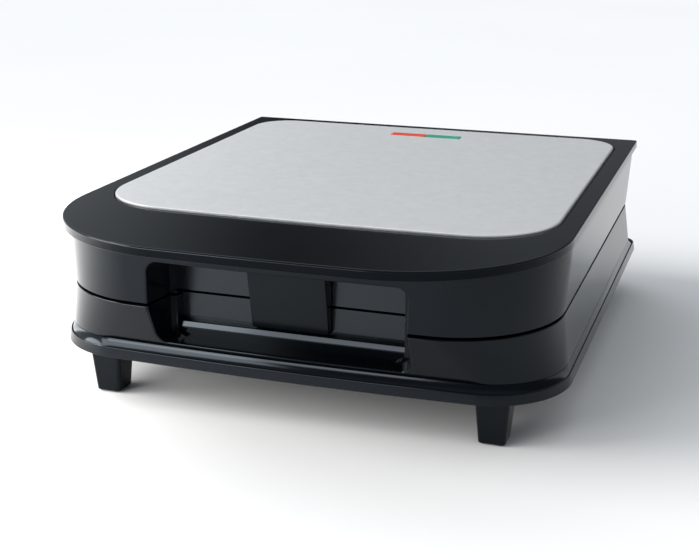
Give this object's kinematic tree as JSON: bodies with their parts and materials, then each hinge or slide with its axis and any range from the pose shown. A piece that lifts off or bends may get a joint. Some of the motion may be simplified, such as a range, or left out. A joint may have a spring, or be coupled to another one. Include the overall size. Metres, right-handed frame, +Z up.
{
  "type": "sandwich maker",
  "caption": "Closed sandwich toaster: brushed steel lid panel, glossy black shells, front finger recess with a latch, rear hinge and plates with triangular pockets.",
  "frame": {"origin": "on the surface that it stands on, below the middle of its outline", "axes": "+X to its right, +Y to its rear where the hinge is, +Z up"},
  "size_m": [0.2876, 0.3608, 0.1039],
  "materials": {
    "gloss_black_plastic": "gloss",
    "satin_black_plastic": "satin",
    "brushed_steel": "brushed",
    "bright_steel": "plain",
    "coated_aluminium": "non-stick coating",
    "element_sheath": "dull",
    "rubber": "matte",
    "red_lens": "translucent",
    "green_lens": "translucent",
    "white_plastic": "matte",
    "lamp_glass": "clear",
    "lead_insulation": "woven sleeve"
  },
  "bodies": {
    "base": {"base_housing": "gloss_black_plastic", "base_tray": "gloss_black_plastic", "foot_pad_front_left": "rubber", "foot_pad_front_right": "rubber", "foot_pad_rear_left": "rubber", "foot_pad_rear_right": "rubber", "lower_plate": "coated_aluminium", "lower_element": "element_sheath", "lower_reflector": "bright_steel", "lower_plate_screw_1": "bright_steel", "lower_plate_screw_2": "bright_steel", "lower_plate_screw_3": "bright_steel", "lower_plate_screw_4": "bright_steel", "thermostat": "bright_steel", "terminal_block": "white_plastic", "element_lead_left": "lead_insulation", "element_lead_right": "lead_insulation", "hinge_pin_left": "bright_steel", "hinge_pin_right": "bright_steel", "cord_inlet": "rubber"},
    "lid": {"lid_cover": "gloss_black_plastic", "lid_panel": "brushed_steel", "indicator_lens_red": "red_lens", "indicator_lens_green": "green_lens", "lamp_holder": "white_plastic", "neon_lamp_left": "lamp_glass", "neon_lamp_right": "lamp_glass", "upper_plate": "coated_aluminium", "upper_element": "element_sheath", "upper_reflector": "bright_steel", "upper_plate_screw_1": "bright_steel", "upper_plate_screw_2": "bright_steel", "upper_plate_screw_3": "bright_steel", "upper_plate_screw_4": "bright_steel", "thermal_fuse": "bright_steel"},
    "latch": {"latch": "satin_black_plastic", "latch_pin": "bright_steel", "latch_spring": "bright_steel"}
  },
  "joints": [
    {"name": "lid_hinge", "type": "hinge", "parent": "base", "child": "lid", "pos_m": [0, 0.1742, 0.0625], "axis": [-1, 0, 0], "range_deg": [0, 100]},
    {"name": "latch_pivot", "type": "hinge", "parent": "lid", "child": "latch", "pos_m": [0, -0.1287, 0.0776], "axis": [-1, 0, 0], "range_deg": [0, 20], "stiffness_Nm_per_rad": 0.1, "springref_deg": -5.73}
  ]
}
